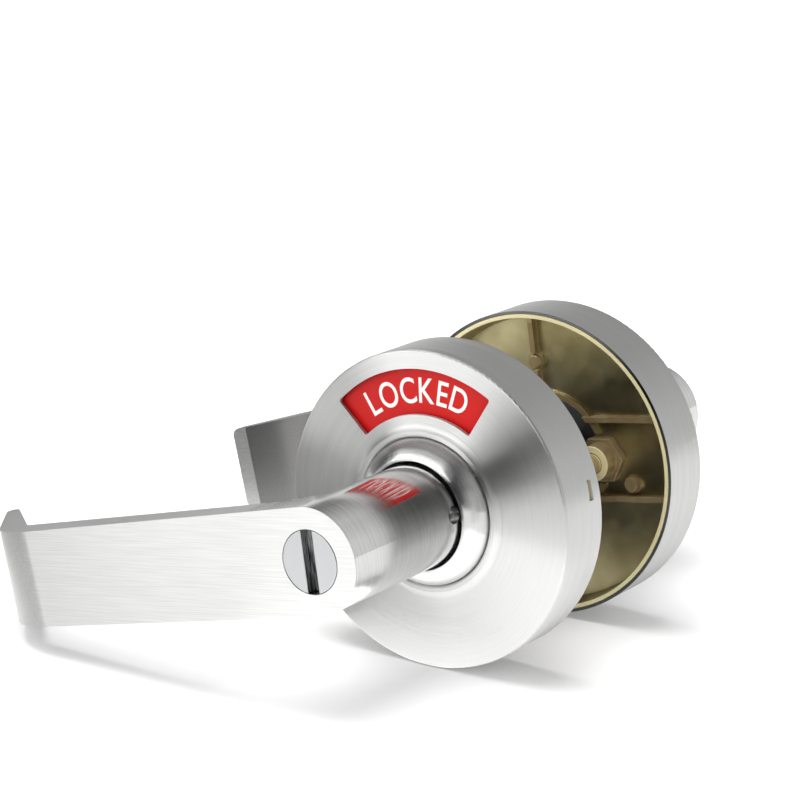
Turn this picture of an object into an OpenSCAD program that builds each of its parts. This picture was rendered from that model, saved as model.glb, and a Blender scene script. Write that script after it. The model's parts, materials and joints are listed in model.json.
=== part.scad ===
// Privacy lever lock set for a toilet door, with an occupancy window in the outside rose.
// The lock's axis runs along Y. The outside door face is at y = 0 and the outside half stands towards -Y.
// Each half is drawn in its own frame: x as the part's x, y up, z out of the door face.

/* [Door] */
// Thickness of the door leaf between the roses
door_t = 38; // [36:1:50]
// Distance between the two through bolts
post_spacing = 38; // [37:0.5:42]

/* [Roses] */
// Outer radius of the roses
rose_r = 44.45; // [43.5:0.05:48]
// Height of the rose skirt out of the door face
rose_h = 17.6; // [17:0.1:20]
// Sheet thickness of the roses
rose_wall = 0.8; // [0.6:0.1:1]
// Radius of the rose's rolled edge
rose_edge_r = 0.7; // [0.3:0.1:1]
// Rise of the rose's face from its edge to its eye
rose_crown = 0.55; // [0.2:0.05:1]
// Radius of the bead round the rose's eye
bead_r = 0.85; // [0.6:0.05:1.2]
// Radius of the flare from the face up to the bead
flare_r = 3; // [2:0.5:5]
// Width of the spanner notch along the axis
notch_w = 2; // [1.5:0.1:3]
// Length of the spanner notch round the skirt
notch_l = 5.6; // [3:0.1:8]
// Middle of the spanner notch out of the door face
notch_h = 4.6; // [3:0.1:8]
// Angle of the spanner notch above the level of the axis
notch_a = 4.4; // [0:0.1:30]

/* [Indicator] */
// Distance of the window from the rose's outer edge
window_set = 5.15; // [4.5:0.05:7]
// Width of the window along a radius
window_w = 12.6; // [10:0.1:13]
// Half angle of the window
window_a = 39; // [30:1:42]
// Corner radius of the window
window_corner = 0.8; // [0.4:0.1:2]
// How far the status panels reach past the window's edges
panel_lap = 1.2; // [0.6:0.1:1.8]
// Thickness of a status panel
panel_t = 0.4; // [0.3:0.05:0.6]
// Gap from a status panel to the rose above it
panel_gap = 0.9; // [0.5:0.1:1.3]
// Height of the indicator ring's sleeve
sleeve_h = 4; // [3.6:0.1:4.4]
// Wall of the indicator ring's sleeve
sleeve_t = 2; // [1.4:0.1:2.2]
// Thickness of the indicator ring's disc
disc_t = 1; // [0.8:0.1:1.4]
// Radius of the drive pin and the guide pin
pin_r = 0.9; // [0.7:0.05:1.1]

/* [Base plates] */
// Thickness of the base plate's rim
plate_wall = 1.1; // [0.8:0.1:1.5]
// Thickness of the base plate's floor
plate_t = 1.6; // [1.2:0.1:1.8]
// Draft of the rim's inner wall
plate_draft = 0.9; // [0.4:0.1:1.5]
// Radius of the base plate's centre hole
hole_r = 18.4; // [17.5:0.1:19.5]
// Radius of the lugs that carry the posts
lug_r = 7; // [6.5:0.1:7.4]
// Height of the ribs on the door side
rib_h = 2.4; // [1.5:0.1:3.5]
// Width of the ribs
rib_w = 1.6; // [1.2:0.1:2.4]
// Distance of the cross ribs from the axis
rib_y = 11.5; // [11:0.1:13]
// Height of the raised lip round the centre hole
lip_h = 1.2; // [0.6:0.1:2]
// Height of the pads under the rivets
pad_h = 1.2; // [0.8:0.1:2]

/* [Housings and collars] */
// Radius of the bearing housing's flange
flange_r = 32; // [31.5:0.5:36]
// Thickness of the bearing housing's flange
flange_t = 1.6; // [1.2:0.1:2]
// Radius of the bearing housing's boss
boss_r = 18; // [17.4:0.1:18.4]
// Height of the boss's rim above the shank's seat
rim_h = 2.6; // [1.5:0.1:3]
// Wall under the shank's seat
seat_t = 1.2; // [0.8:0.1:1.6]
// Outer radius of the collar
collar_r = 20.55; // [20.2:0.05:21.5]
// Height of the collar's shoulder out of the door face
collar_shoulder_h = 19; // [18.6:0.1:20]
// Height of the collar's mouth out of the door face
mouth_h = 23.7; // [22.5:0.1:25]
// Radius of the collar's dome
dome_r = 9; // [7:0.5:14]
// Wall of the bush
bush_t = 1.85; // [1.2:0.05:2]
// Pitch circle radius of the rivets
rivet_pcd_r = 28.5; // [28:0.1:29]
// Radius of a rivet's shank
rivet_r = 1.6; // [1.2:0.1:1.8]
// Radius of a rivet's head
rivet_head_r = 2.4; // [2.2:0.1:2.8]
// Height of a rivet's head
rivet_head_h = 1.1; // [0.8:0.1:1.5]

/* [Posts and bolts] */
// Radius of a post
post_r = 5.1; // [4.8:0.1:5.4]
// Width across flats of a post's hex foot
post_hex = 12.4; // [11.5:0.1:12.8]
// Height of a post's hex foot
post_hex_h = 3; // [2:0.1:4]
// Radius of a post's tenon in the base plate
tenon_r = 4; // [3.8:0.1:4.4]
// Radius of a through bolt
bolt_r = 2.9; // [2.4:0.1:3.1]
// Radius of a through bolt's head
bolt_head_r = 4.8; // [4.4:0.1:5]
// Height of a through bolt's head
bolt_head_h = 3; // [2:0.1:3.2]
// How far a bolt stops short of the stud's foot
bolt_short = 1; // [0.5:0.1:3]

/* [Levers] */
// Height of the lever's flat face out of the door face
lever_h = 71.2; // [68:0.1:78]
// Radius of the lever's shank
shank_r = 14.5; // [14.2:0.05:14.8]
// Half height of the lever's bar at its tip
tip_half = 13.2; // [11:0.1:14]
// Corner radius of the lever's tip
tip_corner_r = 2.5; // [0.5:0.1:5]
// Thickness of the bar
bar_t = 9.5; // [8:0.1:12]
// Fillet between the shank and the back of the bar
fillet_r = 8; // [3:0.5:10]
// Length of the straight bar from the axis to the bend
bend_x = 96.3; // [80:0.1:110]
// Radius of the bend, to the bar's flat face
bend_r = 24; // [20:0.5:34]
// Angle of the return towards the door
return_a = 50.3; // [35:0.1:54]
// Length of the return's flat face
return_l = 36; // [25:0.1:42]
// Angle by which the return narrows to its tip
return_taper_a = 7; // [3:0.5:9]
// Thickness of the return at its tip
tip_t = 3.2; // [2:0.1:5]
// Tilt of the tip's end face from the door face
tip_cut_a = 5; // [0:1:20]
// How far the levers hang below level at rest
lever_sag = 5; // [0:0.5:6]
// Gap between the shank and the collar's mouth
mouth_gap = 0.7; // [0.4:0.05:0.9]
// Chamfer of the bore at the lever's face
bore_chamfer = 0.8; // [0.3:0.1:1.2]

/* [Hubs and spindles] */
// Radius of the hub
hub_r = 9; // [8.8:0.05:9.1]
// Bore radius of the hub
hub_bore_r = 7; // [6.9:0.05:7.2]
// Height of the hub's outer end out of the door face
hub_top = 40; // [34:0.5:44]
// How far the hub reaches into the door
hub_reach = 4; // [3.6:0.1:8]
// Width across the hub's flats under the spring driver
hub_flats = 16; // [15.6:0.1:17]
// Width across flats of the square spindle
spindle_af = 9.5; // [9:0.1:9.6]
// Bore radius of the spindle
spindle_bore_r = 3.6; // [3.5:0.05:3.8]
// Thickness of the spindle's flange
spindle_flange_t = 0.9; // [0.6:0.1:1.4]
// Gap between the two spindle halves
spindle_split = 1; // [0.6:0.1:3]

/* [Return springs] */
// Mean radius of a return spring
spring_r = 11.5; // [11.2:0.1:12]
// Wire radius of a return spring
spring_wire_r = 0.8; // [0.6:0.05:0.9]
// Whole turns of a return spring, before the half turn
spring_turns = 3; // [2:1:3]
// Length of a return spring's legs past its turns
spring_leg = 3; // [2.6:0.1:3.2]
// Thickness of the spring driver
driver_t = 1.4; // [1:0.1:1.8]
// Radius of the spring driver
driver_r = 12.5; // [11.5:0.1:13]
// Width of the driver's tab
tab_w = 3; // [2:0.1:4]
// Thickness of the driver's tab
tab_t = 1.4; // [1:0.1:1.6]
// Height of the driver's tab
tab_h = 3.2; // [2:0.1:4]
// Radius of the housing's spring stop
stop_r = 0.9; // [0.7:0.05:1.1]
// Thickness of the circlip
clip_t = 0.8; // [0.6:0.05:1]
// Outer radius of the circlip
clip_r = 10.4; // [10:0.1:11]
// Radius of the circlip's groove
groove_r = 7.6; // [7.4:0.05:7.7]
// Land between the groove and the hub's end
groove_land = 0.7; // [0.5:0.05:1]

/* [Catches] */
// Height of the catch out of the door face
catch_h = 25.7; // [25.5:0.1:32]
// Radius of the catch stud
catch_r = 2.3; // [1.8:0.05:2.4]
// Distance of the stud's tip from the axis
catch_tip = 11.5; // [11:0.1:11.7]
// Thickness of the stud's flange
catch_flange_t = 0.8; // [0.6:0.05:0.9]
// Radius of the stud's flange
catch_flange_r = 2.9; // [2.7:0.05:3]
// Mean radius of the catch spring
catch_spring_r = 5.7; // [5.5:0.05:5.8]
// Wire radius of the catch spring
catch_wire_r = 0.45; // [0.3:0.05:0.5]

/* [Button, plug and cam] */
// Radius of the push button
button_r = 7.4; // [7:0.05:7.8]
// Length of the push button
button_l = 23; // [20:0.5:24]
// How far the pressed button stands out of the lever
button_proud = 6.5; // [4:0.1:8]
// Travel of the push button
button_travel = 10.5; // [8:0.1:11]
// Edge radius of the push button
button_edge_r = 0.6; // [0.3:0.1:1.2]
// Space for the button's spring while the button is pressed
button_spring_l = 4.7; // [4:0.1:6]
// Mean radius of the button's spring
button_spring_r = 5; // [4.6:0.1:5.6]
// Wire radius of the button's spring
button_wire_r = 0.5; // [0.4:0.05:0.6]
// Turns of the button's spring
button_turns = 2.5; // [2:0.5:2.5]
// Radius of the emergency plug
plug_r = 8.5; // [8:0.05:9]
// Length of the emergency plug
plug_l = 11; // [9:0.5:14]
// Width of the coin slot
coin_w = 3.6; // [2.5:0.1:4]
// Depth of the coin slot
coin_depth = 3; // [2:0.1:4]
// Radius of the plug shaft and the push rod
shaft_r = 2.6; // [2.5:0.05:2.7]
// How deep the shaft and the rod sit in the plug and the button
socket_l = 5; // [3:0.5:6]
// Outer radius of the rod's slotted end
rod_end_r = 3.1; // [3:0.05:3.2]
// Bore radius of the rod's slotted end
rod_bore_r = 2.2; // [2.1:0.05:2.3]
// Thickness of the slotted end's cap
rod_cap_t = 1; // [0.8:0.1:1.2]
// Width of the cam blade
blade_w = 3.6; // [3:0.1:3.7]
// Thickness of the cam blade
blade_t = 1.2; // [0.8:0.05:1.3]
// Length of the blade's tang in the shaft
tang_l = 4; // [3:0.5:6]
// How far the rod's pressed end stands from the middle of the door
rod_end_set = 8; // [6:0.5:9]
// Turn of the indicator over the button's travel
indicator_turn = 90; // [90]

/* [Clearances] */
// Gap between pieces that are seated in each other
seat_fit = 0.03; // [0.02:0.01:0.05]
// Radial gap of a running fit
run_fit = 0.05; // [0.03:0.01:0.08]
// Gap along the axis beside turning pieces
run_gap = 0.25; // [0.15:0.05:0.3]
// Radial gap of the indicator ring on the boss
ring_fit = 0.15; // [0.1:0.05:0.2]
// Gap beside the pins in their windows
pin_gap = 0.3; // [0.2:0.05:0.35]
// Gap round the push button and the emergency plug
plug_gap = 0.15; // [0.1:0.05:0.25]
// Gap between the rose and the base plate's rim
plate_gap = 0.15; // [0.1:0.05:0.2]
// Gap round the collar in the rose's eye
eye_gap = 0.2; // [0.1:0.05:0.3]
// Gap beside the blade in the cap's slot
slot_gap = 0.3; // [0.25:0.05:0.35]
// Gap round shafts and bolts in plain holes
hole_gap = 0.3; // [0.2:0.05:0.4]

/* [Hidden] */
$fn = 96;

// Finishes
satin_chrome = [0.78, 0.78, 0.77];
bright_steel = [0.70, 0.71, 0.72];
spring_steel = [0.42, 0.43, 0.45];
yellow_zinc = [0.60, 0.55, 0.33];
grey_zinc = [0.55, 0.56, 0.58];
bearing_bronze = [0.62, 0.45, 0.24];
status_red = [0.80, 0.13, 0.12];
status_green = [0.12, 0.50, 0.25];

// Overshoot of cutting solids
cut = 1;

// Levels out of the door face, from the rose's underside down to the base plate
rose_under = rose_h - rose_wall;
panel_top = rose_under - panel_gap;
sleeve_top = panel_top - panel_t;
sleeve_z = sleeve_top - sleeve_h;
flange_top = sleeve_z - run_gap;
plate_top = flange_top - flange_t;
floor_h = plate_top - plate_t;
pin_h = sleeve_z + sleeve_h / 2;
pin_low = pin_h - pin_r - pin_gap;
pin_high = pin_h + pin_r + pin_gap;
seat_h = pin_high + seat_t;
boss_top = seat_h + rim_h;
shank_z = seat_h + run_gap;
collar_z = sleeve_top + run_gap;

// Radii from the hub out to the rose
bush_bore_r = hub_r + run_fit;
bush_r = bush_bore_r + bush_t;
bush_flange_w = 0.8;
mouth_r = shank_r + mouth_gap;
mouth_land = 0.6;
sleeve_r = boss_r + ring_fit;
sleeve_out = sleeve_r + sleeve_t;
eye_r = collar_r + eye_gap;
skin_r = rose_r - rose_wall;
flare_set = 0.7 * flare_r;
window_steps = 40;
corner_steps = 6;
plate_r = skin_r - plate_gap;
plate_in = plate_r - plate_wall;
window_r2 = rose_r - window_set;
window_r1 = window_r2 - window_w;
disc_margin = 1;
disc_r = window_r2 + panel_lap + disc_margin;

// Lever's tip, back and bend, and how far the fillet's round runs into the shank and the back
tip_x = bend_x + bend_r * sin(return_a) + return_l * cos(return_a);
tip_h = lever_h - bend_r + bend_r * cos(return_a) - return_l * sin(return_a);
back_h = lever_h - bar_t;
bend_steps = 24;
fillet_set = 0.1;

// Posts and rivets
post_x = post_spacing / 2;
rivet_angles = [90, -15, 195, 270];
head_pocket_r = bolt_head_r + hole_gap;
bolt_slot_w = 1.2;

// Hub, driver and return spring
hub_z = -hub_reach;
clip_open_a = 50;
clip_z = hub_z + groove_land;
driver_z = clip_z + clip_t + seat_fit;
driver_top = driver_z + driver_t;
socket_top = pin_low - spindle_flange_t;
spring_low = driver_top + run_gap + spring_wire_r;
spring_high = floor_h - run_gap - spring_wire_r;
spring_end_gap = 0.1;
stop_circle_r = spring_r + spring_leg - tab_t / 2 - spring_end_gap;
leg_gap = 0.15;
leg_low_a = 270 + asin((tab_w / 2 + spring_wire_r + leg_gap) / stop_circle_r);
leg_high_a = 90 + asin((stop_r + spring_wire_r + leg_gap) / stop_circle_r);
spring_sweep = 360 * spring_turns + 180 + (leg_high_a - 90) - (leg_low_a - 270);
rings_per_turn = 8;
wire_sides = 6;

// Angles that the pins and levers sweep
drive_pin_a = 225;
guide_pin_a = 270;
lever_swing = 45;
window_play = 12;

// Catch and its spring
catch_seat_gap = 0.07;
catch_out = sqrt(hub_bore_r * hub_bore_r - catch_flange_r * catch_flange_r) - catch_seat_gap;
catch_in = catch_out - catch_flange_t;
catch_spring_a = 110;
catch_spring_set = catch_spring_r + catch_wire_r + spring_end_gap - catch_in;

// Button, plug and cam
plug_pocket_z = lever_h - plug_l - run_gap;
plug_chamfer = 0.1;
button_back = lever_h + button_proud - button_l;
button_pocket_z = button_back - button_spring_l;
rod_tip = -(door_t / 2 + rod_end_set);
cap_mid = rod_tip + rod_cap_t / 2;
blade_tip_h = -door_t - cap_mid - button_travel - rod_cap_t;
rod_gap = 1;
shaft_end = -door_t - rod_tip + rod_gap;
blade_rate = indicator_turn / button_travel;
blade_steps = 24;
bore_spare = 2;

// Places a half on the outside of the door
module on_outside() {
    rotate([90, 0, 0]) children();
}

// Places a half on the inside of the door
module on_inside() {
    translate([0, door_t, 0]) mirror([0, 1, 0]) rotate([90, 0, 0]) children();
}

// Turns a lever's pieces to where they hang at rest
module hang() {
    rotate([0, 0, lever_sag]) children();
}

// Puts copies at both posts
module at_posts() {
    for (side = [-1, 1]) translate([side * post_x, 0, 0]) children();
}

// Puts copies at the rivets
module at_rivets() {
    for (a = rivet_angles) rotate([0, 0, a]) translate([rivet_pcd_r, 0, 0]) children();
}

// A ring between two radii and two levels
module ring(r1, r2, z1, z2) {
    translate([0, 0, z1]) difference() {
        cylinder(r = r2, h = z2 - z1);
        translate([0, 0, -cut]) cylinder(r = r1, h = z2 - z1 + 2 * cut);
    }
}

// A sector of a ring, from angle a1 over a sweep
module sector(r1, r2, z1, z2, a1, sweep) {
    rotate([0, 0, a1]) rotate_extrude(angle = sweep) translate([r1, z1]) square([r2 - r1, z2 - z1]);
}

// A pin along a radius at angle a
module radial_pin(r, from, to, a) {
    rotate([0, 0, a]) translate([from, 0, 0]) rotate([0, 90, 0]) cylinder(r = r, h = to - from);
}

// Centre of the arc of radius r that bulges outwards from p to q
function arc_centre(p, q, r) = let (d = q - p, l = norm(d)) (p + q) / 2
    + [-d.y, d.x] / l * sqrt(r * r - l * l / 4);

// Point on a circle at a level
function polar(r, a, z) = [r * cos(a), r * sin(a), z];

// Direction of a path at point i
function heading(path, i) = let (d = path[min(i + 1, len(path) - 1)] - path[max(i - 1, 0)]) d / norm(d);

// Section of a wire round point i of its path
function wire_ring(path, i, r) = let (
    t = heading(path, i),
    n = cross(t, [0, 0, 1]) / norm(cross(t, [0, 0, 1]))
) [for (k = [0 : wire_sides - 1]) path[i] + r * (cos(360 * k / wire_sides) * n
    + sin(360 * k / wire_sides) * cross(n, t))];

// Least gap between the turns of a wire
function wire_gap(path, r) = min([for (i = [0 : len(path) - 1]) for (j = [i + 6 : 1 : len(path) - 1])
    norm(path[i] - path[j])]) - 2 * r;

// A closed skin over a row of sections with as many points each
module skin(sections) {
    n = len(sections[0]);
    last = (len(sections) - 1) * n;
    sides = [for (i = [0 : len(sections) - 2]) for (k = [0 : n - 1]) let (
        a = i * n + k,
        b = i * n + (k + 1) % n
    ) each [[a, b, a + n], [b, b + n, a + n]]];
    ends = [for (k = [1 : n - 2]) each [[0, k + 1, k], [last, last + k, last + k + 1]]];
    polyhedron([for (section = sections) each section], concat(sides, ends));
}

// A round wire along a path
module wire(path, r) {
    skin([for (i = [0 : len(path) - 1]) wire_ring(path, i, r)]);
}

// Path of a return spring: leg, turns, leg
function return_spring_path() = let (count = ceil(spring_sweep / 360 * rings_per_turn)) concat(
    [polar(spring_r + spring_leg, leg_low_a, spring_low)],
    [for (i = [0 : count]) polar(spring_r, leg_low_a + spring_sweep * i / count,
        spring_low + (spring_high - spring_low) * i / count)],
    [polar(spring_r + spring_leg, leg_low_a + spring_sweep, spring_high)]);

// Path of the button's spring
function button_spring_path() = let (
    count = button_turns * rings_per_turn,
    low = button_pocket_z + button_wire_r + spring_end_gap,
    high = button_back - button_wire_r - spring_end_gap
) [for (i = [0 : count]) polar(button_spring_r, 360 * i / rings_per_turn, low + (high - low) * i / count)];

echo(return_spring_gap = wire_gap(return_spring_path(), spring_wire_r));
echo(button_spring_gap = wire_gap(button_spring_path(), button_wire_r));

// Half section of a rose: skirt, rolled edge, crowned face, flare and bead
module rose_section() {
    difference() {
        union() {
            polygon([
                [eye_r, 0], [rose_r, 0], [rose_r, rose_h - rose_edge_r],
                [rose_r - rose_edge_r, rose_h], [eye_r, rose_h + rose_crown]
            ]);
            translate([rose_r - rose_edge_r, rose_h - rose_edge_r]) circle(rose_edge_r);
            translate([eye_r + bead_r, rose_h + rose_crown]) circle(bead_r);
            difference() {
                translate([eye_r + bead_r, rose_h]) square([flare_r, rose_crown + bead_r]);
                translate([eye_r + 2 * bead_r + flare_set, rose_h + rose_crown + flare_r]) circle(flare_r);
            }
        }
        translate([0, -cut]) square([skin_r, rose_under + cut]);
    }
}

// Points on an arc about a centre, without the end points where skip is 1
function arc(centre, r, a1, a2, steps, skip = 0) = [for (i = [skip : steps - skip])
    let (a = a1 + (a2 - a1) * i / steps) centre + r * [cos(a), sin(a)]];

// Outline of the window about the x axis, with round corners
function window_outline() = let (
    inner_r = window_r1 + window_corner,
    outer_r = window_r2 - window_corner,
    inner_a = window_a - asin(window_corner / inner_r),
    outer_a = window_a - asin(window_corner / outer_r),
    side_a = window_a + 90
) concat(
    arc([0, 0], window_r2, -outer_a, outer_a, window_steps, 1),
    arc(outer_r * [cos(outer_a), sin(outer_a)], window_corner, outer_a, side_a, corner_steps),
    arc(inner_r * [cos(inner_a), sin(inner_a)], window_corner, side_a, 180 + inner_a, corner_steps),
    arc([0, 0], window_r1, inner_a, -inner_a, window_steps, 1),
    arc(inner_r * [cos(inner_a), -sin(inner_a)], window_corner, 180 - inner_a, 360 - side_a, corner_steps),
    arc(outer_r * [cos(outer_a), -sin(outer_a)], window_corner, -side_a, -outer_a, corner_steps)
);

// The window's opening through the rose's face
module window_cut() {
    rotate([0, 0, 90]) translate([0, 0, rose_under - cut])
        linear_extrude(rose_wall + rose_crown + 2 * cut) polygon(window_outline());
}

// A rose with its notch at an angle, with or without the window
module rose(with_window, angle) {
    color(satin_chrome) difference() {
        rotate_extrude() rose_section();
        rotate([0, 0, angle]) translate([skin_r - cut, -notch_l / 2, notch_h - notch_w / 2])
            cube([rose_wall + 2 * cut, notch_l, notch_w]);
        if (with_window) window_cut();
    }
}

// Ribs on the door side of a base plate
module plate_ribs() {
    reach = plate_in - plate_draft;
    intersection() {
        ring(hole_r, reach + plate_draft / 2, floor_h - rib_h, floor_h + cut / 2);
        union() {
            translate([-rib_w / 2, -rose_r, 0]) cube([rib_w, 2 * rose_r, floor_h + cut / 2]);
            for (side = [-1, 1]) translate([-rose_r, side * rib_y - rib_w / 2, 0])
                cube([2 * rose_r, rib_w, floor_h + cut / 2]);
        }
    }
}

// A base plate: dished pressing with ribs, rivet pads and lugs for the posts
module base_plate() {
    color(yellow_zinc) difference() {
        union() {
            difference() {
                rotate_extrude() polygon([
                    [0, floor_h], [plate_in - plate_draft, floor_h], [plate_in, 0],
                    [plate_r, 0], [plate_r, plate_top], [0, plate_top]
                ]);
                difference() {
                    translate([0, 0, floor_h - cut]) cylinder(r = hole_r, h = plate_t + 2 * cut);
                    at_posts() translate([0, 0, floor_h - 2 * cut])
                        cylinder(r = lug_r, h = plate_t + 4 * cut);
                }
            }
            difference() {
                union() {
                    plate_ribs();
                    ring(hole_r, hole_r + rib_w, floor_h - lip_h, floor_h + cut / 2);
                }
                at_rivets() cylinder(r = rivet_head_r + hole_gap, h = floor_h);
                at_posts() translate([0, 0, floor_h - rib_h - cut])
                    cylinder(r = lug_r + hole_gap, h = rib_h + cut);
            }
            at_rivets() translate([0, 0, floor_h - pad_h])
                cylinder(r = rivet_head_r + hole_gap, h = pad_h + cut / 2);
        }
        at_posts() translate([0, 0, floor_h - cut]) cylinder(r = tenon_r + seat_fit, h = plate_t + 2 * cut);
        at_rivets() cylinder(r = rivet_r + seat_fit, h = plate_top + cut);
    }
}

// A bearing housing without its pin's opening
module housing_body(with_bolts) {
    difference() {
        union() {
            translate([0, 0, plate_top]) cylinder(r = flange_r, h = flange_t);
            translate([0, 0, plate_top]) cylinder(r = boss_r, h = boss_top - plate_top);
        }
        translate([0, 0, plate_top - cut]) cylinder(r = bush_r + seat_fit, h = boss_top - plate_top);
        translate([0, 0, seat_h]) cylinder(r = mouth_r, h = rim_h + cut);
        at_rivets() cylinder(r = rivet_r + seat_fit, h = flange_top + cut);
        if (with_bolts) at_posts() {
            cylinder(r = bolt_r + hole_gap, h = flange_top + cut);
            translate([0, 0, flange_top]) cylinder(r = head_pocket_r, h = boss_top);
        }
    }
    translate([0, stop_circle_r, spring_high - spring_wire_r - run_gap])
        cylinder(r = stop_r, h = plate_top + cut / 2 - spring_high + spring_wire_r + run_gap);
}

// A flanged bush in the housing
module bush() {
    color(bearing_bronze) {
        ring(bush_bore_r, bush_r, floor_h + run_gap, pin_low);
        ring(bush_r - cut / 2, bush_r + bush_flange_w, floor_h + run_gap, plate_top);
    }
}

// A collar: skirt on the boss and a dome up to the shank's mouth
module collar() {
    shoulder = [collar_r, collar_shoulder_h];
    mouth = [mouth_r + mouth_land, mouth_h];
    color(satin_chrome) rotate_extrude() difference() {
        intersection() {
            translate([mouth_r, collar_z]) square([collar_r - mouth_r, mouth_h - collar_z]);
            union() {
                square([collar_r, collar_shoulder_h]);
                translate(arc_centre(shoulder, mouth, dome_r)) circle(dome_r);
            }
        }
        square([boss_r + seat_fit, boss_top + run_gap]);
    }
}

// Rivets through the base plate and the housing's flange
module rivets() {
    color(yellow_zinc) at_rivets() {
        translate([0, 0, floor_h - pad_h]) cylinder(r = rivet_r, h = flange_top - floor_h + pad_h);
        translate([0, 0, floor_h - pad_h - rivet_head_h])
            cylinder(r1 = rivet_head_r - rivet_head_h / 2, r2 = rivet_head_r, h = rivet_head_h);
        translate([0, 0, flange_top])
            cylinder(r1 = rivet_head_r, r2 = rivet_head_r - rivet_head_h / 2, h = rivet_head_h);
    }
}

// Posts with hex feet, riveted into the base plate by their tenons
module posts(bore_r) {
    color(yellow_zinc) at_posts() difference() {
        union() {
            cylinder(r = post_r, h = floor_h);
            translate([0, 0, floor_h - post_hex_h])
                cylinder(r = post_hex / 2 / cos(30), h = post_hex_h, $fn = 6);
            cylinder(r = tenon_r, h = plate_top);
        }
        translate([0, 0, -cut]) cylinder(r = bore_r, h = plate_top + 2 * cut);
    }
}

// A return spring round a hub
module return_spring() {
    color(spring_steel) wire(return_spring_path(), spring_wire_r);
}

// Where a line through p at angle a meets one through q at angle b
function meet(p, a, q, b) = let (
    gap = q - p,
    run = (gap[0] * sin(b) - gap[1] * cos(b)) / sin(b - a)
) p + run * [cos(a), sin(a)];

// Side outline of the lever's bar: flat face, bend, return, tip and back
function bar_outline() = let (
    tip = [-tip_x, tip_h],
    inner_a = return_a - return_taper_a,
    inner = tip + tip_t * [sin(return_a), -cos(return_a)]
) concat(
    [[0, back_h], [0, lever_h]],
    arc([-bend_x, lever_h - bend_r], bend_r, 90, 90 + return_a, bend_steps),
    [tip, meet(tip, tip_cut_a, inner, inner_a), meet([0, back_h], 0, inner, inner_a)]
);

// Plan of the lever's bar, narrowing to a tip with round corners
module bar_plan() {
    centre_x = tip_corner_r - tip_x;
    centre_y = tip_half - tip_corner_r;
    polygon(concat(
        [[0, -shank_r], [0, shank_r]],
        arc([centre_x, centre_y], tip_corner_r, 90, 180, corner_steps),
        arc([centre_x, -centre_y], tip_corner_r, 180, 270, corner_steps)
    ));
}

// The lever's bar, with the fillet that joins its back to the shank
module lever_bar() {
    round_r = shank_r + fillet_r - fillet_set;
    round_h = back_h - fillet_r + fillet_set;
    intersection() {
        union() {
            rotate([90, 0, 0]) linear_extrude(4 * shank_r, center = true) polygon(bar_outline());
            rotate_extrude() difference() {
                translate([shank_r / 2, round_h]) square([round_r - shank_r / 2, fillet_r + bar_t / 2]);
                translate([round_r, round_h]) circle(fillet_r);
            }
        }
        linear_extrude(lever_h + cut) bar_plan();
    }
}

// A lever with its hub bore, its catch hole and a pocket of radius r from level z to its face
module lever(pocket_r, pocket_z, chamfer) {
    color(satin_chrome) hang() difference() {
        union() {
            translate([0, 0, shank_z]) cylinder(r = shank_r, h = lever_h - shank_z);
            lever_bar();
        }
        translate([0, 0, shank_z - cut])
            cylinder(r = hub_r + seat_fit, h = hub_top + run_gap - shank_z + cut);
        translate([0, 0, hub_top]) cylinder(r = shaft_r + hole_gap, h = lever_h - hub_top);
        translate([0, 0, pocket_z]) cylinder(r = pocket_r, h = lever_h - pocket_z + cut);
        translate([0, 0, lever_h - chamfer])
            cylinder(r1 = pocket_r, r2 = pocket_r + chamfer + cut, h = chamfer + cut);
        translate([0, 0, catch_h]) radial_pin(catch_r + plug_gap, 0, shank_r + cut, 0);
    }
}

// A hub: square socket, bore, pin window, catch hole, flats and groove
module hub(pin_a1, pin_sweep) {
    window_a1 = pin_a1 - lever_swing - window_play;
    window_sweep = pin_sweep + 2 * lever_swing + 2 * window_play;
    color(bright_steel) hang() difference() {
        union() {
            translate([0, 0, driver_top]) cylinder(r = hub_r, h = hub_top - driver_top);
            intersection() {
                translate([0, 0, hub_z]) cylinder(r = hub_r, h = driver_top - hub_z + cut / 2);
                translate([-hub_r, -hub_flats / 2, hub_z])
                    cube([2 * hub_r, hub_flats, driver_top - hub_z + cut / 2]);
            }
        }
        translate([0, 0, socket_top]) cylinder(r = hub_bore_r, h = hub_top - socket_top + cut);
        linear_extrude(3 * hub_top, center = true) square(spindle_af + 2 * seat_fit, center = true);
        ring(groove_r, hub_r + cut, clip_z, clip_z + clip_t + seat_fit);
        sector(hub_bore_r - cut, hub_r + cut, pin_low, pin_high, window_a1, window_sweep);
        translate([0, 0, catch_h]) radial_pin(catch_r + run_fit, 0, hub_r + cut, 0);
    }
}

// Half of the split square spindle, with the flange that rests on the hub's socket
module spindle() {
    end = -door_t / 2 + spindle_split / 2;
    color(bright_steel) hang() difference() {
        union() {
            translate([0, 0, end]) linear_extrude(socket_top - end) square(spindle_af, center = true);
            translate([0, 0, socket_top]) cylinder(r = hub_bore_r - run_fit, h = spindle_flange_t);
        }
        translate([0, 0, end - cut]) cylinder(r = spindle_bore_r, h = pin_low - end + 2 * cut);
    }
}

// A spring driver on the hub's flats, with its tab beside the spring's leg
module spring_driver() {
    tab_out = stop_circle_r + tab_t / 2;
    color(grey_zinc) difference() {
        union() {
            translate([0, 0, driver_z]) cylinder(r = driver_r, h = driver_t);
            translate([-tab_w / 2, -tab_out, driver_z]) cube([tab_w, tab_out - hub_r - cut, driver_t]);
            translate([-tab_w / 2, -tab_out, driver_z]) cube([tab_w, tab_t, driver_t + tab_h]);
        }
        hang() intersection() {
            translate([0, 0, driver_z - cut]) cylinder(r = hub_r + seat_fit, h = driver_t + 2 * cut);
            translate([-2 * hub_r, -hub_flats / 2 - seat_fit, driver_z - cut])
                cube([4 * hub_r, hub_flats + 2 * seat_fit, driver_t + 2 * cut]);
        }
    }
}

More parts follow.
